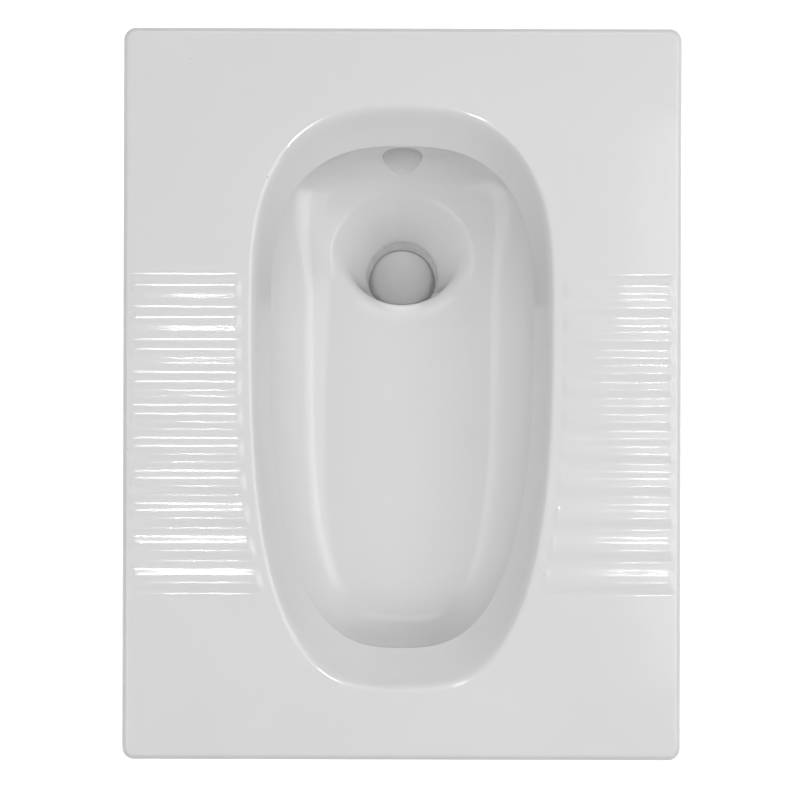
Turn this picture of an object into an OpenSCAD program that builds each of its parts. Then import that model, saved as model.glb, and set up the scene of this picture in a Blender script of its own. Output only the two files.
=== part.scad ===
// Squat toilet: a glazed ceramic pan let into the floor, with its flush way and its water trap.
// Millimetres. +Z is up, +Y points to the rear, where the outlet and the flush pipe are.
// The origin is on the underside of the skirt, in the middle of its rear wall.

/* [Deck] */
// Width of the deck, side to side
deck_w = 450; // [430:1:500]
// Length of the deck, front to rear
deck_l = 590; // [580:1:640]
// Height of the deck's top above the bed that the skirt stands on
deck_h = 38; // [34:1:44]
// Thickness of the deck's plate
plate_t = 12; // [10:0.5:14]
// Thickness of the skirt's wall
skirt_t = 14; // [11:0.5:18]
// Radius of the deck's corners, seen from above
corner_r = 10; // [8:0.5:16]
// Radius of the deck's rounded top edge
edge_r = 6; // [4:0.5:8]

/* [Foot treads] */
// Number of ribs under each foot
tread_count = 10; // [6:1:10]
// Distance from one rib to the next
tread_pitch = 26.1; // [24:0.1:27]
// Width of a rib at its foot
tread_w = 21; // [16:0.5:22]
// Height of a rib above the deck
tread_h = 1.8; // [1.5:0.1:4]
// Distance of the rearmost rib behind the deck's middle
tread_rear = 85.2; // [75:0.1:95]
// Flat margin between a rib's outer end and the deck's side
tread_margin = 6; // [4:0.5:12]

/* [Mouth of the bowl] */
// Width of the mouth where it is widest
mouth_w = 239; // [225:1:250]
// Length of the mouth behind its widest line
mouth_head = 153.5; // [146:0.5:160]
// Flat land of the deck behind the mouth
rear_land = 66; // [60:0.5:80]
// Flat land of the deck before the mouth
front_land = 58.7; // [55:0.1:75]
// Reach of the soft edge between the deck and the rim
roll_r = 9; // [6:0.5:11]

/* [Flush rim] */
// How far the rim leans in at the sides
lip_in_side = 11.5; // [8:0.5:16]
// How far the rim leans in at the rear
lip_in_head = 26; // [20:0.5:30]
// How far the rim leans in at the front
lip_in_tail = 28.6; // [22:0.2:32]
// Depth of the rim's lower lip below the deck
lip_drop = 35; // [30:0.5:38]
// Thickness of the rim's wall at the lip
lip_t = 8; // [6:0.5:10]
// Clear width of the flush channel behind the rim
channel_w = 16; // [12:0.5:18]
// Thickness of the flush channel's wall and floor
channel_t = 7.5; // [6:0.5:9]
// Diameter of a wash hole
wash_d = 6; // [4:0.5:7]
// Number of wash holes along each side
wash_count = 9; // [6:1:10]

/* [Bowl] */
// Thickness of the bowl's wall
wall_t = 9; // [7:0.5:11]
// How far the sloped edge of the floor lies inside the mouth at the sides
floor_in_side = 25.5; // [22:0.5:30]
// How far the sloped edge of the floor lies inside the mouth at the rear
floor_in_head = 31.5; // [28:0.5:34]
// How far the sloped edge of the floor lies inside the mouth at the front
floor_in_tail = 33.3; // [28:0.1:40]
// How much wider the floor is at the rear than an egg of its size
floor_flare = 0.25; // [0.1:0.05:0.4]
// Depth of the floor below the deck at the widest line
floor_depth = 122; // [112:0.5:130]
// Fall of the floor towards the rear, per length
floor_fall = 0.06; // [0.02:0.005:0.08]

/* [Outlet] */
// Width of the well's mouth
well_w = 104; // [98:1:108]
// Length of the well's mouth
well_l = 88; // [84:1:92]
// Distance of the well's middle before the rear end of the mouth
well_back = 105; // [103:0.5:110]
// Depth of the well's throat below the deck
throat_depth = 178; // [170:1:200]
// Diameter of the throat and of the outlet pipe's bore
throat_d = 62; // [56:0.5:70]
// Distance of the outlet pipe before the rear end of the mouth
outlet_back = 124; // [118:0.5:128]
// Thickness of the outlet pipe's wall
outlet_t = 9; // [7:0.5:11]
// Length of the outlet pipe
outlet_len = 80; // [65:1:100]

/* [Flush inlet] */
// Diameter of the flush pipe that the inlet takes
flush_pipe_d = 32; // [28:0.5:36]
// Thickness of the rubber seal around the flush pipe
inlet_seal_t = 8; // [6:0.5:9]
// Thickness of the inlet horn's wall
horn_t = 8; // [6:0.5:9]
// How deep the flush pipe's seal sits in the horn
horn_depth = 34; // [28:1:40]
// Thickness of the horn's floor
horn_floor = 6; // [5:0.5:8]
// Depth of the inlet's middle below the deck
inlet_depth = 106; // [102:0.5:110]
// Bore of the nozzle that opens in the bowl
nozzle_d = 34; // [33.5:0.5:36]
// Thickness of the nozzle's wall
nozzle_t = 3.5; // [3:0.5:5]
// Slant of the nozzle's end, in degrees, along the bowl's rear wall
nozzle_slant = 30; // [24:1:36]

/* [Stiffening webs] */
// Number of webs under the deck on each side
web_count = 3; // [2:1:4]
// Thickness of a web
web_t = 12; // [8:0.5:14]
// Distance between webs
web_pitch = 92; // [80:1:100]
// Distance of the middle web before the deck's middle
web_fore = 30; // [0:1:40]

/* [Trap] */
// Outer diameter of the trap's pipe, the size of the soil pipe
trap_d = 90; // [86:0.5:94]
// Thickness of the trap's wall
trap_t = 5; // [4:0.5:6]
// Radius of the trap's bends, to the middle of the pipe
bend_r = 58; // [54:0.5:59]
// Depth of the water seal
seal_depth = 50; // [50:1:75]
// Clear width of the rubber seal between outlet and socket
trap_seal_t = 7; // [6:0.5:9]
// Depth of the trap's socket
socket_depth = 48; // [42:1:48]
// Length of the trap's outlet pipe behind its bend
tail_len = 46; // [40:1:80]

/* [Fits] */
// Clearance between pieces that seat on each other
seat_gap = 0.2; // [0.1:0.05:0.3]
// Free space between the outlet pipe's end and the shelf of the trap's socket
socket_play = 2; // [1:0.5:4]

/* [Hidden] */

glaze = [0.93, 0.93, 0.925];
bisque = [0.88, 0.87, 0.84];
rubber = [0.12, 0.12, 0.12];
plastic = [0.9, 0.9, 0.89];
// Points around every ring of the bowl, the rim and the well
ring_n = 72;
// Faces around a pipe
pipe_n = 96;

// Places along the deck, seen from its middle. The origin is at rear_y.
rear_y = deck_l / 2 - skirt_t / 2;
mouth_end = deck_l / 2 - rear_land;
mouth_y = mouth_end - mouth_head;
mouth_tail = deck_l - rear_land - mouth_head - front_land;
well_y = mouth_end - well_back;
outlet_y = mouth_end - outlet_back;

// Heights over the bed
plate_z = deck_h - plate_t;
lip_z = deck_h - lip_drop;
channel_z = lip_z - channel_t;
floor_z = deck_h - floor_depth;
throat_z = deck_h - throat_depth;

// Reach of the wash holes behind the lip, and of the bowl's wall behind them
wash_in = lip_t + wash_d / 2 + 1;
bowl_in = wash_in + wash_d / 2 + 2;

// The riser that feeds the channel stands midway between the rim's back and the outer wall
channel_out = roll_r + channel_w + channel_t;
riser_r = channel_w / 2 - 0.5;
riser_y = mouth_end + roll_r + channel_w / 2;

// The inlet: nozzle, horn and the seal in it lie on one level line
horn_bore = flush_pipe_d / 2 + inlet_seal_t;
horn_r = horn_bore + horn_t;
horn_z = deck_h - inlet_depth;
horn_y = mouth_end + channel_out;
nozzle_r = nozzle_d / 2 + nozzle_t;
nozzle_y = mouth_end - floor_in_head + 5;

// The outlet: the trap's socket stands around the outlet pipe's end
outlet_r = throat_d / 2 + outlet_t;
socket_r = outlet_r + trap_seal_t;
socket_floor = throat_z - seat_gap - outlet_len - socket_play - trap_t;
pipe_r = trap_d / 2;
bore_r = pipe_r - trap_t;
// Straight pipe between the socket's floor and the first bend
bend_drop = 14;
bend_z = socket_floor - bend_drop;
// The weir lies so high that the water stands seal_depth over the dip's crown
weir_z = bend_z - bend_r + 2 * bore_r + seal_depth;

// A ring is an egg: [half width, head, tail, widest line, head power, tail power, height, tilt,
// flare]. Powers over 2 make its corners fuller, the tilt is its rise along Y, and the flare
// widens its head.
mouth_ring = [mouth_w / 2, mouth_head, mouth_tail, mouth_y, 2.7, 3, deck_h, 0, 0];
lip_ring = [mouth_w / 2 - lip_in_side, mouth_head - lip_in_head, mouth_tail - lip_in_tail,
    mouth_y, 2.65, 2.8, lip_z, 0, 0];
// The sloped edge of the floor, and around it the rings that pull the wall above it and the floor
// inside it
slope_ring = [mouth_w / 2 - floor_in_side, mouth_head - floor_in_head,
    mouth_tail - floor_in_tail, mouth_y, 4.2, 3.3, floor_z + 11.5, -floor_fall, floor_flare];
foot_ring = slope_ring + [16, 10, 6, 0, -0.7, -0.2, 16.5, 0, -0.1];
wall_ring = grow(slope_ring + [23.5, 17, 10.5, 0, -1.3, -0.3, 0, 0, -0.2], 0,
    channel_z - 0.3 * (channel_z - floor_z));
floor_ring = slope_ring - [13, 11, 9, 0, 0.7, 0, 9, 0, 0];
flat_ring = slope_ring - [22, 17, 22, 0, 1.4, 0, 11.5, 0, 0];
// The well's soft edge, its mouth and its throat
well_soft = 12;
well_ring = [well_w / 2 + well_soft * 2 / 3, well_l / 2 + well_soft / 2, well_l / 2 + well_soft, well_y,
    2, 2, floor_z - floor_fall * (well_y - mouth_y) - 3, -floor_fall, 0];
well_edge = [well_w / 2, well_l / 2, well_l / 2, well_y, 2, 2, well_ring[6] - 7, 0, 0];
throat_ring = [throat_d / 2, throat_d / 2, throat_d / 2, outlet_y, 2, 2, throat_z, 0, 0];
// The bowl ends halfway between this ring and the well's soft edge, where the well starts
verge_ring = mix(flat_ring, well_ring, 0.5);

function signed_pow(v, e) = sign(v) * pow(abs(v), e);
function mix(g, h, k) = g * (1 - k) + h * k;
// A ring made wider by d all round, level at height z
function grow(g, d, z) = [g[0] + d, g[1] + d, g[2] + d, g[3], g[4], g[5], z, 0, g[8]];
// A ring made wider by d and moved up by dz, with its tilt kept
function thicken(g, d, dz) = [g[0] + d, g[1] + d, g[2] + d, g[3], g[4], g[5], g[6] + dz,
    g[7], g[8]];
// Rings of a smooth skin that is pulled towards ring after ring of way. It starts and ends
// midway between two of them, or exactly at a ring that is given twice.
function soft(way, steps) = [for (j = [1 : len(way) - 2], i = [0 : steps])
    if (i > 0 || j == 1)
        let (
            k = i / steps,
            from = mix(way[j - 1], way[j], 0.5),
            to = mix(way[j], way[j + 1], 0.5))
            mix(mix(from, way[j], k), mix(way[j], to, k), k)];
function flared(g, dy) = dy > 0 ? 1 + g[8] * pow(dy / g[1], 2) : 1;
function ring_point(g, i) = let (
    t = 360 * i / ring_n,
    n = sin(t) > 0 ? g[4] : g[5],
    dy = (sin(t) > 0 ? g[1] : g[2]) * signed_pow(sin(t), 2 / n))
    [g[0] * flared(g, dy) * signed_pow(cos(t), 2 / n), g[3] + dy, g[6] + g[7] * dy];
function ring(g) = [for (i = [0 : ring_n - 1]) ring_point(g, i)];
function outline(g) = [for (p = ring(g)) [p[0], p[1]]];
// Half width of a level ring on the line y
function ring_x(g, y) = let (
    reach = y > g[3] ? g[1] : g[2],
    n = y > g[3] ? g[4] : g[5])
    g[0] * flared(g, y - g[3]) * pow(max(0, 1 - pow(abs(y - g[3]) / reach, n)), 1 / n);
function backwards(rings) = [for (i = [len(rings) - 1 : -1 : 0]) rings[i]];

// Moves a piece from the deck's middle to the origin
module framed() {
    translate([0, -rear_y, 0]) children();
}

// A closed solid whose section runs through a loop of rings, outside first, then inside
module ring_solid(rings) {
    m = len(rings);
    points = [for (g = rings) each ring(g)];
    faces = [for (j = [0 : m - 1], i = [0 : ring_n - 1])
        let (
            a = j * ring_n + i,
            b = j * ring_n + (i + 1) % ring_n,
            c = ((j + 1) % m) * ring_n + (i + 1) % ring_n,
            d = ((j + 1) % m) * ring_n + i)
        each [[a, b, c], [a, c, d]]];
    polyhedron(points = points, faces = faces, convexity = 8);
}

// A flat rectangle with round corners
module round_rect(w, l, r) {
    union() {
        square([w - 2 * r, l], center = true);
        square([w, l - 2 * r], center = true);
        for (x = [-1, 1], y = [-1, 1])
            translate([x * (w / 2 - r), y * (l / 2 - r)]) circle(r, $fn = 48);
    }
}

// A wall's outline, w wide and h high, with its two top corners rounded
module round_top(w, h, r) {
    translate([0, h - w / 2]) round_rect(w, w, r);
}

// A quarter or half bend of solid round bar in the YZ plane, from angle a0 on, through angle a.
// Angle 0 points down, and 90 to the rear.
module bar_bend(r, a0, a) {
    rotate([0, 90, 0]) rotate([0, 0, a0]) rotate_extrude(angle = a, $fn = pipe_n)
        translate([bend_r, 0]) circle(r, $fn = pipe_n);
}

module deck() {
    color(glaze) framed() difference() {
        intersection() {
            linear_extrude(deck_h) round_rect(deck_w, deck_l, corner_r);
            translate([0, deck_l / 2 + 1, 0]) rotate([90, 0, 0])
                linear_extrude(deck_l + 2) round_top(deck_w, deck_h, edge_r);
            translate([-deck_w / 2 - 1, 0, 0]) rotate([90, 0, 90])
                linear_extrude(deck_w + 2) round_top(deck_l, deck_h, edge_r);
        }
        translate([skirt_t - deck_w / 2, skirt_t - deck_l / 2, -1])
            cube([deck_w - 2 * skirt_t, deck_l - 2 * skirt_t, plate_z + 1]);
        translate([0, 0, plate_z - 1]) linear_extrude(plate_t + 2)
            polygon(outline(grow(mouth_ring, roll_r, 0)));
    }
}

// One rib from x0 to x1, lying on the deck: the top of a long round bar with round ends
module tread(x0, x1) {
    bar_r = tread_w * tread_w / 8 / tread_h + tread_h / 2;
    run = x1 - x0 - tread_w;
    intersection() {
        translate([x0 + tread_w / 2, 0, deck_h + tread_h - bar_r]) rotate([0, 90, 0])
            rotate_extrude($fn = 128) intersection() {
                translate([0, -bar_r]) square([bar_r, run + 2 * bar_r]);
                union() {
                    circle(bar_r, $fn = 128);
                    square([bar_r, run]);
                    translate([0, run]) circle(bar_r, $fn = 128);
                }
            }
        translate([x0 - 1, -tread_w, deck_h])
            cube([x1 - x0 + 2, 2 * tread_w, tread_h + 1]);
    }
}

module tread_row() {
    for (i = [0 : tread_count - 1]) {
        y = tread_rear - i * tread_pitch;
        translate([0, y, 0])
            tread(ring_x(mouth_ring, y) + roll_r, deck_w / 2 - tread_margin);
    }
}

module left_treads() {
    color(glaze) framed() mirror([1, 0, 0]) tread_row();
}

module right_treads() {
    color(glaze) framed() tread_row();
}

module rim_collar() {
    outer = grow(mouth_ring, roll_r - seat_gap, deck_h);
    under = grow(lip_ring, lip_t / 2, lip_z);
    color(glaze) framed() ring_solid(concat(
        [grow(lip_ring, lip_t, lip_z), grow(lip_ring, lip_t, lip_z + 4),
            grow(mouth_ring, roll_r - seat_gap, plate_z)],
        soft([outer, outer, grow(mouth_ring, 0.5, deck_h), mix(mouth_ring, lip_ring, 0.45),
            mix(mouth_ring, lip_ring, 0.93), lip_ring, under, under], 2)));
}

module flush_channel() {
    color(bisque) framed() difference() {
        ring_solid([
            grow(mouth_ring, channel_out, channel_z),
            grow(mouth_ring, channel_out, plate_z - seat_gap),
            grow(mouth_ring, channel_out - channel_t, plate_z - seat_gap),
            grow(mouth_ring, channel_out - channel_t, lip_z - seat_gap),
            grow(lip_ring, 1.5, lip_z - seat_gap),
            grow(lip_ring, 1.5, channel_z)]);
        for (side = [-1, 1], i = [0 : wash_count - 1]) {
            row = grow(lip_ring, wash_in, 0);
            y = mouth_y - 0.86 * lip_ring[2]
                + i * 1.55 * (lip_ring[2] + lip_ring[1]) / 2 / (wash_count - 1);
            translate([side * ring_x(row, y), y, channel_z - 1])
                cylinder(h = channel_t + 2, d = wash_d, $fn = 32);
        }
        translate([0, riser_y, channel_z - 1])
            cylinder(h = channel_t + 2, r = riser_r, $fn = 64);
    }
}

// The way of the bowl's skin: down the wall, over the sloped edge and in over the floor
function bowl_way(t) = let (top = grow(lip_ring, bowl_in + t, channel_z - seat_gap))
    [top, top, thicken(wall_ring, t, 0), thicken(foot_ring, t, 0),
        thicken(slope_ring, 0.8 * t, -0.6 * t), thicken(floor_ring, 0.3 * t, -t),
        thicken(flat_ring, 0, -t), thicken(verge_ring, 0, -t), thicken(well_ring, 0, -t)];

module bowl() {
    color(glaze) framed() difference() {
        ring_solid(concat(backwards(soft(bowl_way(wall_t), 2)), soft(bowl_way(0), 3)));
        translate([0, well_y, horn_z]) rotate([-90, 0, 0])
            cylinder(h = deck_l / 2, r = nozzle_r + seat_gap, $fn = pipe_n);
    }
}

// A ring of the sump: k of the way from the well's mouth to the throat, and deep of the way down
function sump(k, deep) = let (drop = well_edge[6] - throat_z)
    grow(mix(well_edge, throat_ring, k), 0, well_edge[6] - deep * drop);

// The way of the well's skin: over its soft edge, down the sump's wall and in to the throat
function well_way(t) = let (
    throat = grow(throat_ring, t > 0 ? outlet_t : 0, throat_z))
    [thicken(verge_ring, -seat_gap, -t), thicken(well_ring, -seat_gap, -t),
        thicken(well_edge, 0.6 * t, -0.8 * t), thicken(sump(0.45, 0.33), t, -0.4 * t),
        thicken(sump(0.83, 0.66), t, -0.3 * t), thicken(sump(1, 0.84), t, 0), throat, throat];

module outlet_well() {
    color(glaze) framed()
        ring_solid(concat(backwards(soft(well_way(wall_t), 2)), soft(well_way(0), 3)));
}

module outlet_pipe() {
    bead = 2.5;
    color(bisque) framed() translate([0, outlet_y, throat_z - seat_gap - outlet_len])
        difference() {
            union() {
                cylinder(h = outlet_len, r = outlet_r, $fn = pipe_n);
                translate([0, 0, outlet_len - 8])
                    cylinder(h = 8, r = outlet_r + bead, $fn = pipe_n);
            }
            translate([0, 0, -1]) cylinder(h = outlet_len + 2, r = throat_d / 2, $fn = pipe_n);
        }
}

module flush_nozzle() {
    reach = 4 * nozzle_r;
    color(bisque) framed() difference() {
        union() {
            translate([0, nozzle_y - nozzle_r, horn_z]) rotate([-90, 0, 0])
                cylinder(h = horn_y - nozzle_y + nozzle_r, r = nozzle_r, $fn = pipe_n);
            translate([0, riser_y, horn_z])
                cylinder(h = channel_z - seat_gap - horn_z, r = riser_r + nozzle_t, $fn = 64);
        }
        translate([0, nozzle_y - nozzle_r - 1, horn_z]) rotate([-90, 0, 0])
            cylinder(h = horn_y - nozzle_y + nozzle_r + 2, r = nozzle_d / 2, $fn = pipe_n);
        translate([0, riser_y, horn_z]) cylinder(h = 2 * horn_r, r = riser_r, $fn = 64);
        translate([0, nozzle_y, horn_z]) rotate([-nozzle_slant, 0, 0])
            translate([-reach / 2, -reach, -reach / 2]) cube(reach);
    }
}

module flush_horn() {
    color(bisque) framed() translate([0, horn_y + seat_gap, horn_z]) rotate([-90, 0, 0])
        difference() {
            cylinder(h = horn_floor + horn_depth, r = horn_r, $fn = pipe_n);
            translate([0, 0, horn_floor])
                cylinder(h = horn_depth + 1, r = horn_bore, $fn = pipe_n);
            translate([0, 0, -1]) cylinder(h = horn_floor + 2, r = nozzle_d / 2, $fn = pipe_n);
        }
}

module inlet_seal() {
    flange = 4;
    color(rubber) framed()
        translate([0, horn_y + 2 * seat_gap + horn_floor, horn_z]) rotate([-90, 0, 0])
        difference() {
            union() {
                cylinder(h = horn_depth, r = horn_bore - seat_gap, $fn = pipe_n);
                translate([0, 0, horn_depth])
                    cylinder(h = flange, r = horn_bore + horn_t / 2, $fn = pipe_n);
            }
            translate([0, 0, -1])
                cylinder(h = horn_depth + flange + 2, d = flush_pipe_d, $fn = pipe_n);
        }
}

module support_webs() {
    color(bisque) framed() for (side = [-1, 1], i = [0 : web_count - 1])
        difference() {
            translate([side > 0 ? mouth_w / 4 : skirt_t + seat_gap - deck_w / 2,
                ((web_count - 1) / 2 - i) * web_pitch - web_fore - web_t / 2, 0])
                cube([deck_w / 2 - skirt_t - seat_gap - mouth_w / 4, web_t,
                    plate_z - seat_gap]);
            translate([0, 0, -1]) linear_extrude(plate_z + 2)
                polygon(outline(grow(mouth_ring, channel_out + seat_gap, 0)));
        }
}

module trap_seal() {
    lip = 1.6;
    bottom = socket_floor + trap_t + 1;
    height = socket_depth - 8;
    color(rubber) framed() translate([0, outlet_y, bottom]) rotate_extrude($fn = pipe_n)
        difference() {
            translate([outlet_r + seat_gap, 0])
                square([socket_r - outlet_r - 2 * seat_gap, height]);
            for (k = [0 : 3])
                translate([socket_r - seat_gap, (k + 0.5) * height / 4]) circle(lip, $fn = 24);
        }
}

// The trap's way: down from the socket, round the dip, up, and over the weir to the rear
module trap_way(r, extra) {
    translate([0, outlet_y, bend_z]) cylinder(h = socket_floor + trap_t + extra - bend_z, r = r,
        $fn = pipe_n);
    translate([0, outlet_y + bend_r, bend_z]) bar_bend(r, -90, 180);
    translate([0, outlet_y + 2 * bend_r, bend_z])
        cylinder(h = weir_z - bend_r - bend_z, r = r, $fn = pipe_n);
    translate([0, outlet_y + 3 * bend_r, weir_z - bend_r]) bar_bend(r, 180, 90);
    translate([0, outlet_y + 3 * bend_r, weir_z]) rotate([-90, 0, 0])
        cylinder(h = tail_len + extra, r = r, $fn = pipe_n);
}

module trap() {
    color(plastic) framed() difference() {
        union() {
            trap_way(pipe_r, 0);
            translate([0, outlet_y, socket_floor])
                cylinder(h = socket_depth, r = socket_r + trap_t, $fn = pipe_n);
        }
        trap_way(bore_r, 1);
        translate([0, outlet_y, socket_floor + trap_t])
            cylinder(h = socket_depth, r = socket_r, $fn = pipe_n);
    }
}

deck();
left_treads();
right_treads();
rim_collar();
flush_channel();
bowl();
outlet_well();
outlet_pipe();
flush_nozzle();
flush_horn();
inlet_seal();
support_webs();
trap_seal();
trap();
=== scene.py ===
# %% [markdown]
# # A squat pan in white glazed china
#
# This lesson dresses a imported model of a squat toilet: a rectangular deck that lies in the floor,
# ribs to stand on, an egg-shaped bowl with a sloping rim, and the pipes and trap below it.
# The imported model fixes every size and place. The lesson builds smooth skins over it, gives each
# one a finish with procedural nodes, and lights it like a plain studio photograph from above.

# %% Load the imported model
import math

import bpy
import numpy as np
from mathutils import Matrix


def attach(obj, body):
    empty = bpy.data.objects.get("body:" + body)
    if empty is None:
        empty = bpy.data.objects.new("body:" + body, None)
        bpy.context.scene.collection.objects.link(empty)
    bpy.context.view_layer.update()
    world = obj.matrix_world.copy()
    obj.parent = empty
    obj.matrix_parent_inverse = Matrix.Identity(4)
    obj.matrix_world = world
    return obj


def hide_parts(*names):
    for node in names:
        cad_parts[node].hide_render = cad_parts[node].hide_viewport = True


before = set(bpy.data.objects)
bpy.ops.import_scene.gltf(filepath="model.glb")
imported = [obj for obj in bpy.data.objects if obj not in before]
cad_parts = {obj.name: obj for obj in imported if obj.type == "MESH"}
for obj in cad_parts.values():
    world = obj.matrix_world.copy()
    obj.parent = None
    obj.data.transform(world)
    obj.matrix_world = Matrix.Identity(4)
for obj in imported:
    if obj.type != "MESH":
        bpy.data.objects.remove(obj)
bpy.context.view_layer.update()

# %% [markdown]
# ## Sizes
#
# The pan was modelled in millimetres from the middle of its deck, and so is everything here. Only
# when a mesh is made do its points move to the model's own origin, at the deck's rear wall, and
# turn into metres. The sizes repeat those of the solids, so each skin lies where its solid is.

# %% Sizes of the pan, in millimetres
DECK_W, DECK_L, DECK_H = 450.0, 590.0, 38.0
PLATE_Z = 26.0
SKIRT_T, CORNER_R, EDGE_R = 14.0, 10.0, 6.0
REAR_Y = DECK_L / 2 - SKIRT_T / 2
MOUTH_Y, ROLL = 75.5, 9.0
LIP_Z, LIP_T = 3.0, 8.0
CHANNEL_T = 7.5
CHANNEL_Z = LIP_Z - CHANNEL_T
BOWL_IN = 17.0
FLOOR_Z, FLOOR_FALL = -84.0, 0.06
WALL_T, OUTLET_T = 9.0, 9.0
WELL_Y, OUTLET_Y, THROAT_Z, THROAT_R = 124.0, 105.0, -140.0, 31.0
INLET_Z, INLET_R = -68.0, 17.0
GAP = 0.2
AROUND = 384
print("deck", DECK_W, "by", DECK_L, "mm, points around each ring:", AROUND)

# %% [markdown]
# ## Rings
#
# On the real pan, mouth, lip, floor and well are all eggs of different fullness. One formula, the
# superellipse, draws them all: two lengths, two powers, and a flare for the wide rear. A ring is
# nine numbers: half its width, its reach to the rear and to the front, its middle, the powers of
# the rear and the front half, its height, its tilt, and the flare. Writing the points directly
# keeps every row clean, which subdividing a rough cage wouldn't.

# %% Draw a ring
turn = np.arange(AROUND) * 2 * math.pi / AROUND


def egg(ring):
    half, head, tail, mid, n_head, n_tail, z, tilt, flare = ring
    c, s = np.cos(turn), np.sin(turn)
    n = np.where(s > 0, n_head, n_tail)
    reach = (np.abs(c) ** n + np.abs(s) ** n) ** (-1 / n)
    dy = np.where(s > 0, head, tail) * s * reach
    wide = np.where(dy > 0, 1 + flare * (dy / head) ** 2, 1.0)
    return np.stack([half * wide * c * reach, mid + dy, z + tilt * dy], axis=1)


print("a ring of", len(turn), "points")

# %% Make one ring from another
LENGTHS, HEIGHT, TILT = slice(3), 6, 7


def mix(a, b, k):
    return np.asarray(a, float) * (1 - k) + np.asarray(b, float) * k


def grow(ring, d, z):
    out = np.array(ring, float)
    out[LENGTHS] += d
    out[HEIGHT], out[TILT] = z, 0
    return out


def thicken(ring, d, dz):
    out = np.array(ring, float)
    out[LENGTHS] += d
    out[HEIGHT] += dz
    return out


# %% The rings of this pan
SLOPE_UP, VERGE_DIP, EDGE_DIP = 11.5, 3, 7
WALL_Z = 0.7 * CHANNEL_Z + 0.3 * FLOOR_Z
WELL_Z = FLOOR_Z - FLOOR_FALL * (WELL_Y - MOUTH_Y) - VERGE_DIP

mouth = np.array([119.5, 153.5, 311.8, MOUTH_Y, 2.7, 3, DECK_H, 0, 0])
lip = np.array([108, 127.5, 283.2, MOUTH_Y, 2.65, 2.8, LIP_Z, 0, 0])
slope = np.array([94, 122, 278.5, MOUTH_Y, 4.2, 3.3, FLOOR_Z + SLOPE_UP, -FLOOR_FALL, 0.25])
foot = slope + [16, 10, 6, 0, -0.7, -0.2, 16.5, 0, -0.1]
wall_ring = grow(slope + [23.5, 17, 10.5, 0, -1.3, -0.3, 0, 0, -0.2], 0, WALL_Z)
floor_edge = slope - [13, 11, 9, 0, 0.7, 0, 9, 0, 0]
floor_flat = slope - [22, 17, 22, 0, 1.4, 0, SLOPE_UP, 0, 0]
well_soft = np.array([60, 50, 56, WELL_Y, 2, 2, WELL_Z, -FLOOR_FALL, 0])
well_edge = np.array([52, 44, 44, WELL_Y, 2, 2, WELL_Z - EDGE_DIP, 0, 0])
throat = np.array([THROAT_R, THROAT_R, THROAT_R, OUTLET_Y, 2, 2, THROAT_Z, 0, 0])
verge = mix(floor_flat, well_soft, 0.5)
print("rings run from", round(float(egg(mouth)[:, 2].max())), "down to", THROAT_Z)

# %% [markdown]
# ## Camera
#
# The photograph looks straight down. Its camera stands about 1.5 m over the deck, which shows in
# how much smaller the bowl's floor is drawn than the mouth. It is a few millimetres beside the
# exact middle and turned by a sixth of a degree. A sensor of 36 mm and the width that the
# photograph shows at the deck give the lens.

# %% Place the camera
CAMERA_UP, SEEN_WIDTH = 1.5, 0.6429
CAMERA_ASIDE, CAMERA_AHEAD, CAMERA_TWIST = -0.0016, 0.0048, 0.0028
SENSOR = 36
camera = bpy.data.objects.new("camera", bpy.data.cameras.new("camera"))
bpy.context.scene.collection.objects.link(camera)
camera.location = (CAMERA_ASIDE, -REAR_Y / 1000 - CAMERA_AHEAD, DECK_H / 1000 + CAMERA_UP)
camera.rotation_euler = (0, 0, CAMERA_TWIST)
camera.data.sensor_width = SENSOR
camera.data.lens = SENSOR * CAMERA_UP / SEEN_WIDTH
camera.data.dof.use_dof = False
bpy.context.scene.camera = camera
print("lens", round(camera.data.lens, 1), "mm")

# %% [markdown]
# ## Studio air
#
# A studio's air adds a faint even light from all round, which softens the last dark corners. The
# camera itself should see a pale backdrop behind the pan, not that faint grey. So the world has
# two backgrounds, and a Light Path node picks the pale one for what the camera sees directly.

# %% Fill the studio with air
AIR_LIGHT, BACKDROP_GREY = 0.04, 0.9
scene = bpy.context.scene
scene.view_settings.view_transform = "Standard"
scene.view_settings.look = "None"
world = bpy.data.worlds.new("studio_air")
world.use_nodes = True
nodes, links = world.node_tree.nodes, world.node_tree.links
air = nodes["Background"]
air.inputs["Color"].default_value = (1, 1, 1, 1)
air.inputs["Strength"].default_value = AIR_LIGHT
backdrop = nodes.new("ShaderNodeBackground")
backdrop.inputs["Color"].default_value = (BACKDROP_GREY, BACKDROP_GREY, BACKDROP_GREY, 1)
seen = nodes.new("ShaderNodeLightPath")
either = nodes.new("ShaderNodeMixShader")
links.new(seen.outputs["Is Camera Ray"], either.inputs[0])
links.new(air.outputs[0], either.inputs[1])
links.new(backdrop.outputs[0], either.inputs[2])
links.new(either.outputs[0], nodes["World Output"].inputs["Surface"])
scene.world = world
print("air", AIR_LIGHT, "and backdrop", BACKDROP_GREY)

# %% [markdown]
# ## Soft boxes
#
# White china shows the light more than itself. Large soft boxes stand all round: the strongest
# overhead and on the right, others on the left, in front and in the rear. Together they leave the
# rim a little darker than the deck and the bowl's floor the brightest. Two of those overhead
# would mirror themselves in the flat deck, so reflections don't see them.

# %% Hang the soft boxes
DECK_MIDDLE = (0, -REAR_Y / 1000, DECK_H / 1000)
NOT_MIRRORED = ("overhead", "overhead_front")


def lamp(name, place, size, watts):
    data = bpy.data.lights.new(name, "AREA")
    data.shape = "RECTANGLE"
    data.size, data.size_y = size
    data.energy = watts
    piece = bpy.data.objects.new(name, data)
    bpy.context.scene.collection.objects.link(piece)
    piece.location = place
    way = np.array(place) - np.array(DECK_MIDDLE)
    flat = math.hypot(way[0], way[1])
    piece.rotation_euler = (math.atan2(flat, way[2]), 0, math.atan2(way[0], -way[1]))
    return piece


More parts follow.
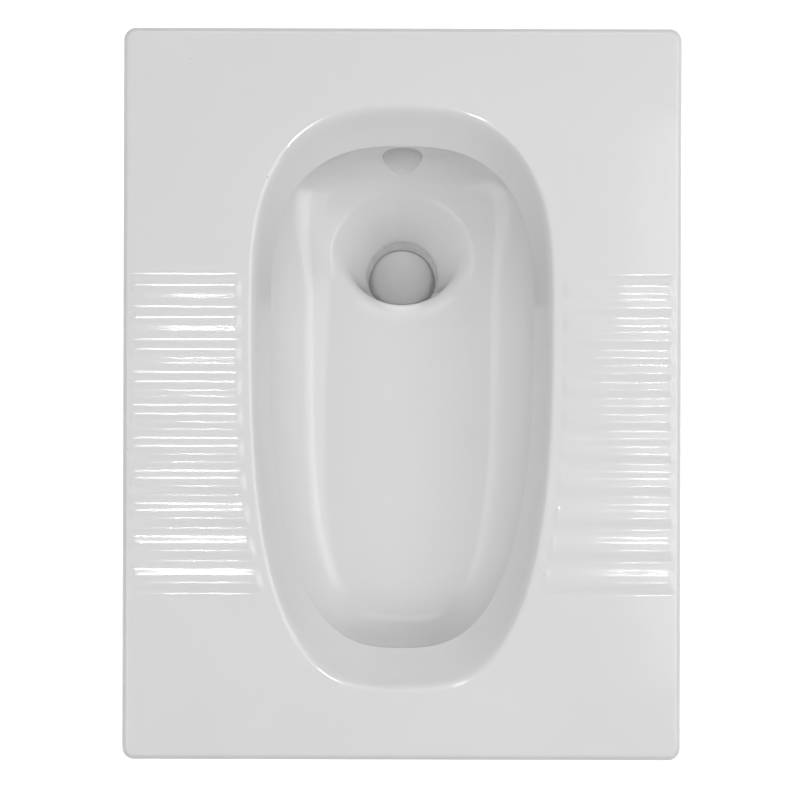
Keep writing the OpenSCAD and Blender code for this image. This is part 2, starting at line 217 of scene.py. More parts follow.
for name, place, size, watts in (
    ("overhead", (0, -0.29, 2.3), (1.2, 1.2), 9.4),
    ("overhead_front", (0, -1.3, 2.2), (1.4, 1.0), 5.4),
    ("overhead_right", (1.2, -0.29, 2.1), (1.2, 1.6), 8.4),
    ("left", (-1.6, -0.29, 1.6), (1.6, 1.2), 7.4),
    ("left_front", (-1.2, -1.3, 1.8), (1.2, 1.2), 5.6),
    ("right", (1.6, -0.29, 1.6), (1.6, 1.2), 10.0),
    ("right_low", (1.8, -0.29, 1.0), (1.6, 1.2), 2.6),
    ("rear", (0, 1.3, 1.7), (1.6, 1.2), 8.0),
):
    softbox = lamp(name + "_softbox", place, size, watts)
    softbox.visible_glossy = name not in NOT_MIRRORED

# %% [markdown]
# ## Small room lights
#
# The bright lines along the ribs and the rim's edge are mirror images of small lights in the
# room. Such lights would show as spots in the flat deck too, so light linking lets them shine on
# the ribs or on the rim alone. They are seen in gloss only and add nothing to the brightness.
# Each is thin and strong, because a wide dim one gets lost in the render's noise.

# %% Hang the room's small lights
rib_mirror = bpy.data.collections.new("rib_mirror")
rim_mirror = bpy.data.collections.new("rim_mirror")
for name, place, size, watts, mirror in (
    ("left_rear", (-0.72, 1.03, 4.74), (0.37, 0.02), 14.0, rib_mirror),
    ("left_front", (-0.44, -1.20, 2.54), (0.08, 0.02), 1.2, rib_mirror),
    ("right_rear", (0.855, 1.03, 4.74), (0.08, 0.02), 4.0, rib_mirror),
    ("right_front", (0.555, -1.02, 2.54), (0.05, 0.02), 1.2, rib_mirror),
    ("left_behind", (-0.70, 1.20, 3.8), (0.35, 0.08), 30.0, rim_mirror),
    ("left_ahead", (-0.60, -1.50, 2.6), (0.25, 0.08), 18.0, rim_mirror),
    ("right_behind", (1.10, 1.00, 3.2), (0.70, 0.08), 40.0, rim_mirror),
    ("right_ahead", (1.00, -1.20, 2.6), (0.70, 0.08), 30.0, rim_mirror),
):
    light = lamp("room_" + name, place, size, watts)
    light.visible_diffuse = False
    light.light_linking.receiver_collection = mirror

# %% [markdown]
# ## A beam down the outlet
#
# The photograph shows pale glaze down in the outlet, which would be a black hole under soft boxes
# alone. So a narrow spot light reaches down it. It leans a little to the rear, along the line on
# which the camera sees into the throat, and lights the part of the trap that shows.

# %% Aim the beam
BEAM_FROM, BEAM_ASIDE, BEAM_DROP = (0, -0.338, 2.3), 0.155, 2.44
beam = bpy.data.lights.new("outlet_beam", "SPOT")
beam.energy = 125.0
beam.spot_size = 0.025
beam.spot_blend = 0.3
beam.shadow_soft_size = 0.004
outlet_beam = bpy.data.objects.new("outlet_beam", beam)
outlet_beam.location = BEAM_FROM
outlet_beam.rotation_euler = (math.atan2(BEAM_ASIDE, BEAM_DROP), 0, 0)
scene.collection.objects.link(outlet_beam)
print("beam leans", round(math.degrees(outlet_beam.rotation_euler[0]), 1), "degrees")

# %% [markdown]
# ## Studio floor
#
# The pan and its trap stand over a pale disc just below the trap's lowest point. The disc is
# not attached to the pan's body.

# %% Lay the pale floor
STAGE_Z, STAGE_R, STAGE_POINTS = -0.3445, 3.2, 96
stage_turn = np.arange(STAGE_POINTS) * 2 * math.pi / STAGE_POINTS
disc = [(STAGE_R * math.cos(a), STAGE_R * math.sin(a), STAGE_Z) for a in stage_turn]
floor_mesh = bpy.data.meshes.new("studio_floor")
floor_mesh.from_pydata(disc, [], [list(range(STAGE_POINTS))])
studio_floor = bpy.data.objects.new("studio_floor", floor_mesh)
scene.collection.objects.link(studio_floor)
print("floor at", STAGE_Z, "m")

# %% [markdown]
# ## Shared effects
#
# Three effects are shared by several finishes, so each is a node group: the slow ripple of a
# glaze that ran while it was hot, fine pits, and blotches of colour. A group puts out only values
# and colours, and the shader stays in the material. All of them read Object coordinates, in
# metres, so the pattern has its real scale. A small helper adds a node, sets its inputs or links
# them, and is used for materials and for Geometry Nodes alike.

# %% A small helper for node trees
VALUE, COLOUR, VECTOR = "NodeSocketFloat", "NodeSocketColor", "NodeSocketVector"
MIX_SHARE, MIX_FIRST, MIX_SECOND, MIX_RESULT = 0, 6, 7, 2


class Tree:
    def __init__(self, tree):
        self.tree = tree

    def link(self, output, target):
        self.tree.links.new(output, target)

    def add(self, kind, inputs=None, **settings):
        node = self.tree.nodes.new(kind)
        for key, value in settings.items():
            setattr(node, key, value)
        for key, value in (inputs or {}).items():
            if isinstance(value, bpy.types.NodeSocket):
                self.link(value, node.inputs[key])
            else:
                node.inputs[key].default_value = value
        return node

    def math(self, operation, a, b=0.0):
        return self.add("ShaderNodeMath", {0: a, 1: b}, operation=operation).outputs[0]

    def mix_colours(self, share, first, second):
        inputs = {MIX_SHARE: share, MIX_FIRST: first, MIX_SECOND: second}
        return self.add("ShaderNodeMix", inputs, data_type="RGBA").outputs[MIX_RESULT]


# %% A helper for node groups


def new_group(name, inputs, outputs):
    tree = bpy.data.node_groups.new(name, "ShaderNodeTree")
    for label, kind, value in inputs:
        socket = tree.interface.new_socket(label, in_out="INPUT", socket_type=kind)
        if value is not None:
            socket.default_value = value
    for label, kind in outputs:
        tree.interface.new_socket(label, in_out="OUTPUT", socket_type=kind)
    given = tree.nodes.new("NodeGroupInput").outputs
    result = tree.nodes.new("NodeGroupOutput").inputs
    return tree, Tree(tree), given, result


# %% Group: the slow ripple of a fired surface
ripple_group, t, given, result = new_group(
    "fired ripple",
    [("Place", VECTOR, None), ("Slow Scale", VALUE, 22.0), ("Fine Scale", VALUE, 160.0),
     ("Fine Share", VALUE, 0.12)],
    [("Height", VALUE)],
)
slow = t.add("ShaderNodeTexNoise", {"Vector": given["Place"], "Scale": given["Slow Scale"],
                                    "Detail": 1.5, "Roughness": 0.4})
fine = t.add("ShaderNodeTexNoise", {"Vector": given["Place"], "Scale": given["Fine Scale"],
                                    "Detail": 1.0, "Roughness": 0.5})
fine_part = t.math("MULTIPLY", fine.outputs["Fac"], given["Fine Share"])
t.link(t.math("ADD", slow.outputs["Fac"], fine_part), result["Height"])
print("built group", ripple_group.name)

# %% Group: pits and pinholes
PATCH_SCALE, PATCH_LEVEL = 31.0, 0.64
pit_group, t, given, result = new_group(
    "pinholes",
    [("Place", VECTOR, None), ("Scale", VALUE, 60.0), ("Size", VALUE, 0.03)],
    [("Mask", VALUE)],
)
cells = t.add("ShaderNodeTexVoronoi", {"Vector": given["Place"], "Scale": given["Scale"]},
              feature="F1")
patches = t.add("ShaderNodeTexNoise", {"Vector": given["Place"], "Scale": PATCH_SCALE,
                                       "Detail": 0.0})
near = t.math("LESS_THAN", cells.outputs["Distance"], given["Size"])
chosen = t.math("GREATER_THAN", patches.outputs["Fac"], PATCH_LEVEL)
t.link(t.math("MULTIPLY", near, chosen), result["Mask"])
print("built group", pit_group.name)

# %% Group: blotches of two colours
blotch_group, t, given, result = new_group(
    "blotches",
    [("Place", VECTOR, None), ("Scale", VALUE, 9.0), ("Light", COLOUR, (1, 1, 1, 1)),
     ("Dark", COLOUR, (0.9, 0.9, 0.9, 1))],
    [("Color", COLOUR)],
)
cloud = t.add("ShaderNodeTexNoise", {"Vector": given["Place"], "Scale": given["Scale"],
                                     "Detail": 3.0, "Roughness": 0.55})
spread = t.add("ShaderNodeMapRange", {"Value": cloud.outputs["Fac"], "From Min": 0.35,
                                      "From Max": 0.65})
t.link(t.mix_colours(spread.outputs["Result"], given["Dark"], given["Light"]), result["Color"])
print("built group", blotch_group.name)

# %% [markdown]
# ## White glaze
#
# Sanitary glaze is an opaque white glass about half a millimetre thick. It is very smooth, so its
# roughness is low, but never flat: it pools a little, and a rare pinhole shows. The bump is tiny
# and its distance is given in metres.

# %% Helpers for a finish


def finish(name):
    material = bpy.data.materials.new(name)
    material.use_nodes = True
    t = Tree(material.node_tree)
    shader = material.node_tree.nodes["Principled BSDF"].inputs
    place = t.add("ShaderNodeTexCoord").outputs["Object"]
    return material, t, shader, place


def add_tone(t, place, scale, light, dark):
    inputs = {"Place": place, "Scale": scale, "Light": (*light, 1), "Dark": (*dark, 1)}
    return t.add("ShaderNodeGroup", inputs, node_tree=blotch_group).outputs["Color"]


def add_ripple(t, shader, place, slow, fine, share, depth):
    inputs = {"Place": place, "Slow Scale": slow, "Fine Scale": fine, "Fine Share": share}
    height = t.add("ShaderNodeGroup", inputs, node_tree=ripple_group).outputs["Height"]
    bump = t.add("ShaderNodeBump", {"Height": height, "Distance": depth, "Strength": 1.0})
    t.link(bump.outputs["Normal"], shader["Normal"])


# %% Make the white glaze
PIT_COLOUR = (0.42, 0.41, 0.4, 1)
white_glaze, t, shader, place = finish("white_glaze")
tone = add_tone(t, place, 7.0, light=(0.885, 0.887, 0.886), dark=(0.865, 0.868, 0.868))
pits = t.add("ShaderNodeGroup", {"Place": place, "Scale": 55.0, "Size": 0.03}, node_tree=pit_group)
t.link(t.mix_colours(pits.outputs["Mask"], tone, PIT_COLOUR), shader["Base Color"])
add_ripple(t, shader, place, slow=24.0, fine=170.0, share=0.1, depth=0.00045)
shader["Roughness"].default_value = 0.1
shader["IOR"].default_value = 1.5
print("glaze nodes:", len(white_glaze.node_tree.nodes))

# %% [markdown]
# ## Fired clay
#
# The underside of a pan is left bare, because it stands on it in the kiln. Fired clay is a warm
# grey white, matt and slightly grainy, with cloudy patches from the fire.

# %% Make the fired clay
fired_clay, t, shader, place = finish("fired_clay")
tone = add_tone(t, place, 16.0, light=(0.78, 0.765, 0.73), dark=(0.7, 0.68, 0.64))
t.link(tone, shader["Base Color"])
add_ripple(t, shader, place, slow=60.0, fine=900.0, share=0.5, depth=0.0004)
shader["Roughness"].default_value = 0.62
print("clay nodes:", len(fired_clay.node_tree.nodes))

# %% [markdown]
# ## Seals and trap
#
# The two seals are black moulded rubber, nearly even and quite matt. The trap is moulded white
# pipe plastic, smoother than rubber and duller than glaze. Both use the same two groups as the
# clay, at a finer scale and with less depth.

# %% Make rubber and plastic
seal_rubber, t, shader, place = finish("seal_rubber")
tone = add_tone(t, place, 40.0, light=(0.035, 0.035, 0.036), dark=(0.02, 0.02, 0.021))
t.link(tone, shader["Base Color"])
add_ripple(t, shader, place, slow=300.0, fine=1800.0, share=0.5, depth=0.00012)
shader["Roughness"].default_value = 0.6

pipe_plastic, t, shader, place = finish("pipe_plastic")
tone = add_tone(t, place, 12.0, light=(0.84, 0.845, 0.84), dark=(0.8, 0.805, 0.8))
t.link(tone, shader["Base Color"])
add_ripple(t, shader, place, slow=45.0, fine=1400.0, share=0.25, depth=0.00015)
shader["Roughness"].default_value = 0.38
print("made", seal_rubber.name, "and", pipe_plastic.name)

# %% [markdown]
# ## The floor's paint
#
# The studio floor is matt and pale, and glows a little, so it stays white under the pan.

# %% Paint the floor
pale_floor, t, shader, place = finish("pale_floor")
tone = add_tone(t, place, 1.2, light=(0.92, 0.92, 0.92), dark=(0.9, 0.9, 0.9))
t.link(tone, shader["Base Color"])
shader["Roughness"].default_value = 0.9
shader["Emission Color"].default_value = (1, 1, 1, 1)
shader["Emission Strength"].default_value = 0.65
studio_floor.data.materials.append(pale_floor)
print("painted", studio_floor.name)

# %% [markdown]
# ## Meshes
#
# Every casting is a closed wall: its section is a loop, and the loop of rings closes into a ring
# doughnut. Faces have to point outwards, so the signed volume is measured and the faces are turned
# if it comes out negative. Smooth shading with sharp edges only over a set angle keeps soft
# shoulders soft and cut ends crisp.

# %% Close a loop of rings into a wall


def signed_volume(points, faces):
    a, b, c, d = (points[faces[:, k]] for k in range(4))
    first = np.einsum("ij,ij->i", a, np.cross(b, c))
    second = np.einsum("ij,ij->i", a, np.cross(c, d))
    return (first + second).sum() / 6


def wall(rows):
    count, around = len(rows), len(rows[0])
    points = np.concatenate(rows)
    j, i = np.meshgrid(np.arange(count), np.arange(around), indexing="ij")
    up, on = (j + 1) % count, (i + 1) % around
    corners = [j * around + i, j * around + on, up * around + on, up * around + i]
    faces = np.stack(corners, axis=-1).reshape(-1, 4)
    if signed_volume(points, faces) < 0:
        faces = faces[:, ::-1]
    return points, faces


# %% Turn points into a piece
SHARP_ANGLE = math.radians(35)


def new_piece(name, points, faces):
    mesh = bpy.data.meshes.new(name)
    mesh.from_pydata(((points - [0, REAR_Y, 0]) / 1000).tolist(), [], faces)
    piece = bpy.data.objects.new(name, mesh)
    bpy.context.scene.collection.objects.link(piece)
    return piece


def casting(name, points, faces, bare):
    piece = new_piece(name, points, faces.tolist())
    mesh = piece.data
    mesh.materials.append(white_glaze)
    mesh.materials.append(fired_clay)
    mesh.polygons.foreach_set("material_index", bare.astype(np.int32))
    mesh.shade_smooth()
    mesh.set_sharp_from_angle(angle=SHARP_ANGLE)
    mesh.update()
    return piece


def hand_over(piece, slot, *nodes):
    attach(piece, "root")
    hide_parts(*nodes)
    print(piece.name, "stands for", nodes, "with", len(piece.data.polygons), "faces")


# %% [markdown]
# ## Deck
#
# The deck is cast in plaster moulds: a flat plate with rounded edges that turns down into a skirt
# all round, open below, with a large hole for the bowl. It is one closed loop of rings, from the
# hole's edge over the top, down the skirt and back under the plate. The top and the skirt are
# glazed, and the underside stays bare clay, so the faces get two finishes.

# %% Draw the deck's rounded rectangle
SIDE_POINTS, CORNER_POINTS, END_POINTS = 40, 28, 28
OUTER = (DECK_W, DECK_L, CORNER_R)
INNER = (DECK_W - 2 * SKIRT_T, DECK_L - 2 * SKIRT_T, 8.0)


def slab(outline, inset, z):
    width, length = outline[0] - 2 * inset, outline[1] - 2 * inset
    radius = outline[2] - inset
    x, y = width / 2 - radius, length / 2 - radius
    side = [(width / 2, y * k / SIDE_POINTS) for k in range(SIDE_POINTS)]
    bend = np.arange(CORNER_POINTS) * math.pi / (2 * CORNER_POINTS)
    corner = [(x + radius * math.cos(a), y + radius * math.sin(a)) for a in bend]
    end = [(x * (1 - k / END_POINTS), length / 2) for k in range(END_POINTS + 1)]
    quarter = np.array(side + corner + end)
    left = (quarter * [-1, 1])[::-1][1:]
    top = np.concatenate([quarter, left])
    bottom = (top * [1, -1])[::-1][1:-1]
    ring = np.concatenate([top, bottom])
    return np.column_stack([ring, np.full(len(ring), z)])


print("points in a rectangle:", len(slab(OUTER, 0, DECK_H)))

# %% Lay out the deck's rows
SHOULDER_ROWS = 11
SKIRT_HEIGHTS = (20.0, 8.0, 3.0, 1.5)
SKIRT_FOOT = ((0.2, 0.75), (0.75, 0.2), (1.5, 0.0))
UNDERSIDE = ((-1, 0.0), (0, 1.0), (0, 8.0), (0, PLATE_Z - 6), (0.6, PLATE_Z - 3),
             (2, PLATE_Z - 1.2), (4.5, PLATE_Z))


def blend_rows(a, b, shares):
    return [a * (1 - k) + b * k for k in shares]


hole_top = egg(grow(mouth, ROLL, DECK_H))
hole_low = egg(grow(mouth, ROLL, PLATE_Z))
shoulder = []
for a in np.linspace(math.pi / 2, 0, SHOULDER_ROWS):
    z = DECK_H - EDGE_R + EDGE_R * math.sin(a)
    shoulder.append(slab(OUTER, EDGE_R * (1 - math.cos(a)), z))
rows = [hole_low, hole_top]
rows += blend_rows(hole_top, shoulder[0], [0.012, 0.2, 0.4, 0.6, 0.8, 0.97])
rows += shoulder
rows += [slab(OUTER, 0, z) for z in SKIRT_HEIGHTS]
rows += [slab(OUTER, inset, z) for inset, z in SKIRT_FOOT]
glazed_rows = len(rows) - 1
rows += [slab(INNER, inset, z) for inset, z in UNDERSIDE]
rows += blend_rows(rows[-1], hole_low, [0.25, 0.5, 0.75])
print("deck rows:", len(rows), "points in a row:", len(rows[2]))

# %% Make the deck
points, faces = wall(rows)
low_row = faces.min(axis=1) // AROUND
high_row = faces.max(axis=1) // AROUND
bare = (low_row >= glazed_rows) | (high_row - low_row > 1)
hand_over(casting("deck_casting", points, faces, bare), "glaze", "deck")

# %% [markdown]
# ## Flush rim
#
# The rim leans in from the deck to a rounded lip that hides the wash holes. Its skin is pulled
# softly from ring to ring, as a spline through control points, so it has no creases where none are
# wanted. It takes six rings: flat at the deck, round a soft roll, straight down the slope, and
# tightly round the lip. Its outer ring is the deck's hole itself, so no seam shows, as none does
# once glaze has run over the joint.

# %% Pull a soft skin through rings


def soft(way, steps):
    rings = []
    for j in range(1, len(way) - 1):
        start, end = mix(way[j - 1], way[j], 0.5), mix(way[j], way[j + 1], 0.5)
        for i in range(0 if j == 1 else 1, steps + 1):
            k = i / steps
            rings.append(mix(mix(start, way[j], k), mix(way[j], end, k), k))
    return rings


# %% Make the rim
outer = grow(mouth, ROLL, DECK_H)
under = grow(lip, LIP_T / 2, LIP_Z)
rim_way = [outer, outer, grow(mouth, 0.5, DECK_H), mix(mouth, lip, 0.45), mix(mouth, lip, 0.93),
           lip, under, under]
show = soft(rim_way, steps=10)
back = [grow(lip, LIP_T, LIP_Z), grow(lip, LIP_T, LIP_Z + 4), grow(mouth, ROLL, PLATE_Z)]
points, faces = wall([egg(ring) for ring in show + back])
bare = faces.min(axis=1) // AROUND >= len(show) - 1
rim_piece = casting("flush_rim", points, faces, bare)
rim_mirror.objects.link(rim_piece)
hand_over(rim_piece, "glaze", "rim_collar")

# %% [markdown]
# ## Bowl
#
# The bowl's wall drops from under the rim, bends into a sloped edge, and then into the floor, which
# falls a little to the well. Inside and outside are two skins of the same rings, one wall's
# thickness apart. The hole for the water inlet is bored straight through the rear wall.

# %% Shape the bowl between two skins


def two_skins(name, way, inner_steps, outer_steps):
    inside = [egg(ring) for ring in soft(way(0), inner_steps)]
    outside = [egg(ring) for ring in soft(way(WALL_T), outer_steps)]
    points, faces = wall(outside[::-1] + inside)
    bare = faces.min(axis=1) // AROUND < len(outside) - 1
    print(name, "rows:", len(inside), "inside and", len(outside), "outside")
    return casting(name, points, faces, bare)


def bowl_way(thick):
    top = grow(lip, BOWL_IN + thick, CHANNEL_Z - GAP)
    return [top, top, thicken(wall_ring, thick, 0), thicken(foot, thick, 0),
            thicken(slope, 0.8 * thick, -0.6 * thick), thicken(floor_edge, 0.3 * thick, -thick),
            thicken(floor_flat, 0, -thick), thicken(verge, 0, -thick),
            thicken(well_soft, 0, -thick)]


bowl_piece = two_skins("bowl_casting", bowl_way, inner_steps=14, outer_steps=5)

# %% A round bar and a cut
BAR_POINTS, BEHIND_WALL = 96, 240.0


def circle(radius, around):
    a = np.arange(around) * 2 * math.pi / around
    return radius * np.cos(a), radius * np.sin(a)


def prism_faces(around):
    sides = [(i, (i + 1) % around, around + (i + 1) % around, around + i) for i in range(around)]
    return sides + [list(range(around))[::-1], list(range(around, 2 * around))]


def bar(name, radius, start, end):
    x, z = circle(radius, BAR_POINTS)
    rows = [np.column_stack([x, np.full(BAR_POINTS, y), INLET_Z + z]) for y in (start, end)]
    faces = [list(face)[::-1] for face in prism_faces(BAR_POINTS)]
    piece = new_piece(name, np.concatenate(rows), faces)
    piece.data.shade_smooth()
    return piece


def cut(piece, cutter, operation="DIFFERENCE"):
    modifier = piece.modifiers.new("cut", "BOOLEAN")
    modifier.operation = operation
    modifier.solver = "EXACT"
    modifier.object = cutter
    graph = bpy.context.evaluated_depsgraph_get()
    mesh = bpy.data.meshes.new_from_object(piece.evaluated_get(graph))
    piece.modifiers.remove(modifier)
    piece.data = mesh
    bpy.data.objects.remove(cutter)
    mesh.set_sharp_from_angle(angle=SHARP_ANGLE)


# %% Bore the inlet
cut(bowl_piece, bar("inlet_bore", INLET_R, WELL_Y, BEHIND_WALL))
hand_over(bowl_piece, "glaze", "bowl")

# %% [markdown]
# ## Well
#
# The floor dips softly into the well, whose front wall drops steeply and whose rear wall slopes,
# down to a brink and the outlet's throat. The rings shift forward as they shrink, which makes the
# two walls differ. Where bowl and well meet, both use the same ring, so the joint doesn't show.

# %% Make the well
well_top = well_edge[HEIGHT]
drop = well_top - THROAT_Z


def sump(k, deep):
    return grow(mix(well_edge, throat, k), 0, well_top - deep * drop)


def well_way(thick):
    end = grow(throat, OUTLET_T if thick else 0, THROAT_Z)
    return [thicken(verge, 0, -thick), thicken(well_soft, 0, -thick),
            thicken(well_edge, 0.6 * thick, -0.8 * thick),
            thicken(sump(0.45, 0.33), thick, -0.4 * thick),
            thicken(sump(0.83, 0.66), thick, -0.3 * thick),
            thicken(sump(1, 0.84), thick, 0), end, end]


well_piece = two_skins("outlet_well_casting", well_way, inner_steps=15, outer_steps=5)
hand_over(well_piece, "glaze", "outlet_well")

# %% [markdown]
# ## Outlet pipe
#
# Below the throat a short pipe of the same clay runs down into the trap. Its bore is glazed, so
# that nothing sticks to it, and its outside is bare, with a bead where it was luted to the well.
# Both skins are rings again. The section's ends are slightly rounded, apart from the bore's edge
# at the top, which meets the well.

# %% Make the outlet pipe
PIPE_LEN, BEAD, BEAD_H = 80.0, 2.5, 8.0
pipe_top = THROAT_Z - GAP
pipe_end = pipe_top - PIPE_LEN
pipe_out = THROAT_R + OUTLET_T
bead_low = pipe_top - BEAD_H


def pipe_ring(radius, z):
    return egg([radius, radius, radius, OUTLET_Y, 2, 2, z, 0, 0])


glazed = [(THROAT_R, pipe_top), (THROAT_R, pipe_top - 20), (THROAT_R, pipe_end + 20),
          (THROAT_R, pipe_end + 1.5), (THROAT_R + 1.5, pipe_end)]
clay = [(pipe_out - 2, pipe_end), (pipe_out - 0.6, pipe_end + 0.6), (pipe_out, pipe_end + 2),
        (pipe_out, bead_low - 2), (pipe_out + 0.7, bead_low - 0.6),
        (pipe_out + BEAD, bead_low + 1.2), (pipe_out + BEAD, pipe_top - 1.2),
        (pipe_out + BEAD - 1.2, pipe_top)]
points, faces = wall([pipe_ring(radius, z) for radius, z in glazed + clay])
bare = faces.min(axis=1) // AROUND >= len(glazed) - 1
hand_over(casting("glazed_outlet_pipe", points, faces, bare), "body_clay", "outlet_pipe")

# %% [markdown]
# ## Water nozzle
#
# A short pipe brings the water through the bowl's rear wall, and a thin riser leaves it on the way
# to feed the rim. On the real pan the bowl's glaze runs into it, so the pipe's front is cut along
# the lean of the wall and ends inside it. The bars are joined and bored by boolean cuts, as a
# plumber would drill them. The bore is a hair wider than the hole in the wall, because two skins
# in the same place shade each other with dark bands.

# %% Draw the riser and the wedge
RISER_POINTS, RISER_Y, RISER_R, RISER_BORE = 64, 246.0, 11.0, 7.5
WALL_LEAN, WALL_BACK = 0.53, 200.2
WEDGE_FRONT, WEDGE_HALF = 150.0, 40.0


def post(name, radius, low, high):
    x, y = circle(radius, RISER_POINTS)
    rows = [np.column_stack([x, RISER_Y + y, np.full(RISER_POINTS, z)]) for z in (low, high)]
    piece = new_piece(name, np.concatenate(rows), prism_faces(RISER_POINTS))
    piece.data.shade_smooth()
    return piece


def wedge(name, low, high):
    back_low, back_high = (WALL_BACK + WALL_LEAN * (z - INLET_Z + INLET_R) for z in (low, high))
    edge = [(WEDGE_FRONT, low), (back_low, low), (back_high, high), (WEDGE_FRONT, high)]
    points = np.array([(x, y, z) for x in (-WEDGE_HALF, WEDGE_HALF) for y, z in edge])
    ends = [(0, 3, 2, 1), (4, 5, 6, 7)]
    sides = [(0, 1, 5, 4), (1, 2, 6, 5), (2, 3, 7, 6), (3, 0, 4, 7)]
    return new_piece(name, points, ends + sides)


# %% Make the nozzle and its riser
NOZZLE_R, NOZZLE_START, NOZZLE_END = 20.5, 190.0, 261.5
BORE_PLAY, PAST_END, ABOVE_RISER = 0.3, 5, 20.0
tube = bar("water_nozzle", NOZZLE_R, NOZZLE_START, NOZZLE_END)
cut(tube, wedge("leaning_wall", low=-120.0, high=-20.0))
cut(tube, post("riser", RISER_R, INLET_Z, CHANNEL_Z - GAP), "UNION")
cut(tube, bar("nozzle_bore", INLET_R + BORE_PLAY, NOZZLE_START - PAST_END, NOZZLE_END + PAST_END))
cut(tube, post("riser_bore", RISER_BORE, INLET_Z, ABOVE_RISER))
tube.data.materials.append(white_glaze)
hand_over(tube, "body_clay", "flush_nozzle")

# %% [markdown]
# ## Foot treads
#
# Ten low ribs under each foot keep it from slipping. They are a soft wave pressed into the deck's
# mould, ending in flat fades at the deck's side and at the bowl's mouth. Geometry Nodes suit such
# a row: a line of points carries one box each, and the realized boxes are then bent by fields.
# One field stretches each rib from the mouth's curve to the deck's side, and another raises its
# top as a cosine.

# %% Name the inputs of a row of ribs
RIB_COUNT = 10
RIB_SIZES = {
    "Pitch": 26.1, "Rear Line": 85.2, "Height": 1.8, "Width": 26.0, "Outer End": 220.0,
    "Mouth Half Width": 128.5, "Mouth Tail": 320.8, "Mouth Line": MOUTH_Y, "Fade": 5.0,
    "Deck Top": DECK_H, "Frame Shift": REAR_Y, "Side": 1.0,
}
INTEGER, MATERIAL, GEOMETRY = "NodeSocketInt", "NodeSocketMaterial", "NodeSocketGeometry"
rib_tree = bpy.data.node_groups.new("rib row", "GeometryNodeTree")
for label, value in RIB_SIZES.items():
    socket = rib_tree.interface.new_socket(label, in_out="INPUT", socket_type=VALUE)
    socket.default_value = value
socket = rib_tree.interface.new_socket("Count", in_out="INPUT", socket_type=INTEGER)
socket.default_value = RIB_COUNT
rib_tree.interface.new_socket("Finish", in_out="INPUT", socket_type=MATERIAL)
rib_tree.interface.new_socket("Geometry", in_out="OUTPUT", socket_type=GEOMETRY)
t = Tree(rib_tree)
given, result = rib_tree.nodes.new("NodeGroupInput"), rib_tree.nodes.new("NodeGroupOutput")
size = {socket.name: socket for socket in given.outputs}
print("inputs:", [name for name in size if name])

# %% Set one box on each point of a line


def combine(x, y, z):
    return t.add("ShaderNodeCombineXYZ", {0: x, 1: y, 2: z}).outputs[0]


rear_start = combine(0.0, size["Rear Line"], 0.0)
step_on = combine(0.0, t.math("MULTIPLY", size["Pitch"], -1.0), 0.0)
line = t.add("GeometryNodeMeshLine", {"Count": size["Count"], "Start Location": rear_start,
                                      "Offset": step_on})
block = t.add("GeometryNodeMeshCube", {"Size": combine(1.0, size["Width"], 1.0),
                                       "Vertices X": 72, "Vertices Y": 25, "Vertices Z": 2})
here = t.add("GeometryNodeInputPosition").outputs[0]
share, lengthwise, level = t.add("ShaderNodeSeparateXYZ", {0: here}).outputs
across = t.add("GeometryNodeStoreNamedAttribute",
               {"Geometry": block.outputs["Mesh"], "Name": "across", "Value": lengthwise},
               data_type="FLOAT", domain="POINT")
carried = t.add("GeometryNodeInstanceOnPoints", {"Points": line.outputs["Mesh"],
                                                 "Instance": across.outputs["Geometry"]})
real = t.add("GeometryNodeRealizeInstances", {"Geometry": carried.outputs["Instances"]})
print("rib tree has", len(rib_tree.nodes), "nodes")

# %% Stretch each box from the mouth to the deck's side
MOUTH_POWER = 3.0
below = t.math("MAXIMUM", t.math("SUBTRACT", size["Mouth Line"], lengthwise), 0.0)
far = t.math("POWER", t.math("DIVIDE", below, size["Mouth Tail"]), MOUTH_POWER)
narrowing = t.math("POWER", t.math("SUBTRACT", 1.0, far), 1 / MOUTH_POWER)
inner = t.math("MULTIPLY", size["Mouth Half Width"], narrowing)
run = t.math("SUBTRACT", size["Outer End"], inner)
along = t.math("MULTIPLY", run, t.math("ADD", share, 0.5))
nearest = t.math("MINIMUM", along, t.math("SUBTRACT", run, along))
fade = t.add("ShaderNodeMapRange", {"Value": nearest, "From Max": size["Fade"]},
             interpolation_type="SMOOTHSTEP")

# %% Raise each top as a cosine
SUNK, BURIED = 0.03, -0.5
offset = t.add("GeometryNodeInputNamedAttribute", {"Name": "across"}, data_type="FLOAT").outputs[0]
wave = t.math("COSINE", t.math("DIVIDE", t.math("MULTIPLY", offset, 2 * math.pi), size["Width"]))
bulge = t.math("MULTIPLY", t.math("ADD", wave, 1.0), t.math("MULTIPLY", size["Height"], 0.5))
top = t.math("SUBTRACT", t.math("MULTIPLY", bulge, fade.outputs["Result"]), SUNK)
is_top = t.math("GREATER_THAN", level, 0.0)
low_part = t.math("MULTIPLY", t.math("SUBTRACT", 1.0, is_top), BURIED)
lift = t.math("ADD", t.math("MULTIPLY", top, is_top), low_part)
x = t.math("MULTIPLY", size["Side"], t.math("ADD", inner, along))
y = t.math("SUBTRACT", lengthwise, size["Frame Shift"])
z = t.math("ADD", size["Deck Top"], lift)
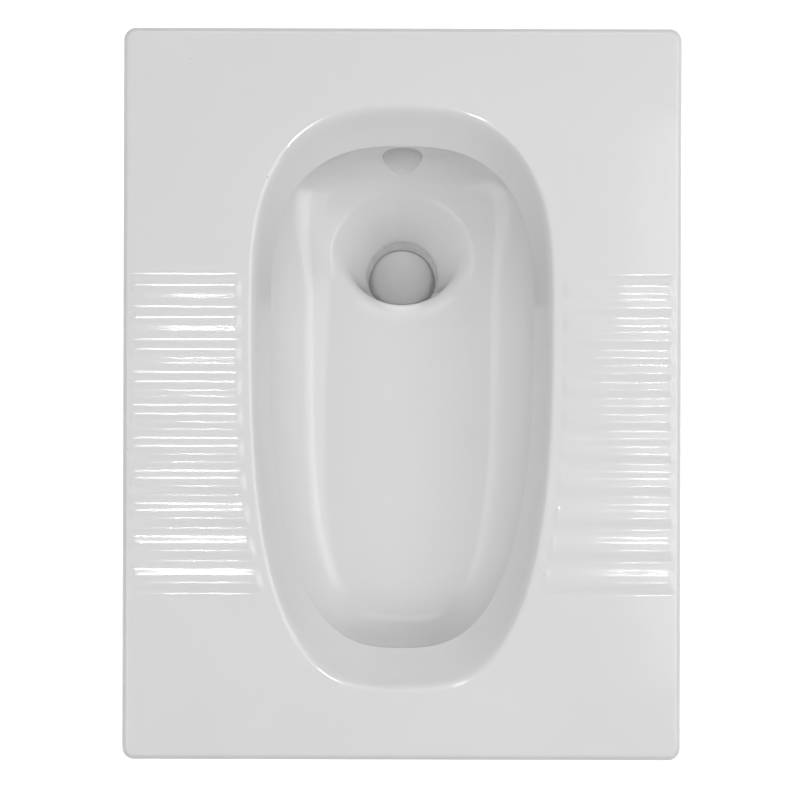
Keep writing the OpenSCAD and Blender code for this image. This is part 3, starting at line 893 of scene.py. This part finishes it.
metres = t.add("ShaderNodeVectorMath", {0: combine(x, y, z), "Scale": 0.001}, operation="SCALE")
moved = t.add("GeometryNodeSetPosition", {"Geometry": real.outputs["Geometry"],
                                          "Position": metres.outputs[0]})
turned = t.add("GeometryNodeFlipFaces", {"Mesh": moved.outputs["Geometry"],
                                         "Selection": t.math("LESS_THAN", size["Side"], 0.0)})
painted = t.add("GeometryNodeSetMaterial", {"Geometry": turned.outputs["Mesh"],
                                            "Material": size["Finish"]})
t.link(painted.outputs["Geometry"], result.inputs["Geometry"])
print("rib tree has", len(rib_tree.nodes), "nodes")

# %% Make both rows
RIB_SHARP_ANGLE = math.radians(50)


def grow_ribs(name, side, node):
    holder = bpy.data.objects.new(name, bpy.data.meshes.new(name))
    bpy.context.scene.collection.objects.link(holder)
    modifier = holder.modifiers.new("ribs", "NODES")
    modifier.node_group = rib_tree
    inputs = [item for item in rib_tree.interface.items_tree if item.in_out == "INPUT"]
    keys = {item.name: item.identifier for item in inputs}
    modifier[keys["Side"]] = float(side)
    modifier[keys["Count"]] = RIB_COUNT
    modifier[keys["Finish"]] = white_glaze
    graph = bpy.context.evaluated_depsgraph_get()
    mesh = bpy.data.meshes.new_from_object(holder.evaluated_get(graph))
    holder.modifiers.remove(modifier)
    holder.data = mesh
    mesh.shade_smooth()
    mesh.set_sharp_from_angle(angle=RIB_SHARP_ANGLE)
    rib_mirror.objects.link(holder)
    hand_over(holder, "glaze", node)


grow_ribs("ribs_left", -1, "left_treads")
grow_ribs("ribs_right", 1, "right_treads")

# %% [markdown]
# ## Hidden pieces
#
# The rest of what lies under the deck keeps the shape of its solids, which is right for plain
# castings, and takes its finish: bare clay, rubber or white pipe plastic.

# %% Finish the hidden pieces
for node, material in (
    ("flush_channel", fired_clay),
    ("flush_horn", fired_clay),
    ("support_webs", fired_clay),
    ("inlet_seal", seal_rubber),
    ("trap_seal", seal_rubber),
    ("trap", pipe_plastic),
):
    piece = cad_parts[node]
    piece.data.materials.clear()
    piece.data.materials.append(material)
print("the model has", len(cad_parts), "nodes")
